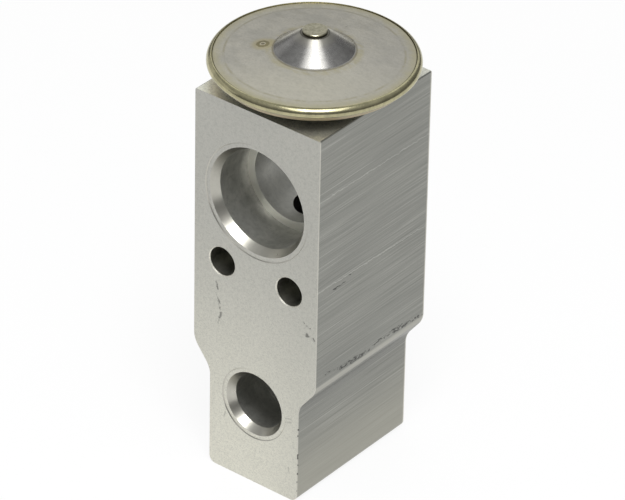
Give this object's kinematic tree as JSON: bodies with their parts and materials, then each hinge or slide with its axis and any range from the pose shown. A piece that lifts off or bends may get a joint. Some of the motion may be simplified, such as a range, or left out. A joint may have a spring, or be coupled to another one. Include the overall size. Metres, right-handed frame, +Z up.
{
  "type": "thermostatic expansion valve",
  "caption": "Block expansion valve for an air conditioner: drilled aluminium block with suction and liquid ports, bolt holes and a round charged head.",
  "frame": {"origin": "middle of the block's bottom face", "axes": "+Z up through the head, -Y out of the front face with the two pipe ports, +X to the right seen from the front"},
  "size_m": [0.038, 0.038, 0.0882],
  "materials": {
    "block": "satin, drawn on the sides and milled on the port faces",
    "head": "matte stainless sheet with a heat tint at the rim",
    "plug": "turned",
    "gasket": "matte",
    "seal_rubber": "matte",
    "inner_steel": "turned and ground",
    "spring_steel": "drawn wire and thin strip",
    "screw": "turned"
  },
  "bodies": {
    "valve_block": {"valve_body": "block", "head_lower_cover": "head", "head_upper_cover": "head", "head_diaphragm": "inner_steel", "charge_plug": "plug", "head_gasket": "gasket", "rod_o_ring": "seal_rubber", "rod_lock_ring": "inner_steel", "adjusting_spring": "spring_steel"},
    "valve_stem": {"diaphragm_pad": "inner_steel", "valve_rod": "inner_steel", "valve_ball": "inner_steel", "ball_carrier": "inner_steel", "damping_spring": "spring_steel"},
    "screw_seal": {"screw_o_ring": "seal_rubber"},
    "adjuster": {"adjusting_screw": "screw"}
  },
  "joints": [
    {"name": "valve_stroke", "type": "slide", "parent": "valve_block", "child": "valve_stem", "axis": [0, 0, 1], "range_m": [0, 0.0007], "stiffness_N_per_m": 2000, "springref_m": -0.005, "deforming": ["adjusting_spring", "head_diaphragm"]},
    {"name": "screw_travel", "type": "slide", "parent": "valve_block", "child": "screw_seal", "axis": [0, 0, 1], "range_m": [-0.00101, 0.00101]},
    {"name": "screw_turn", "type": "hinge", "parent": "screw_seal", "child": "adjuster", "pos_m": [0, 0, 0.0022], "axis": [0, 0, 1], "range_deg": [-360, 360]}
  ],
  "couplings": [
    {"joint": "screw_travel", "follows": "screw_turn", "m_per_rad": 0.00015915}
  ]
}
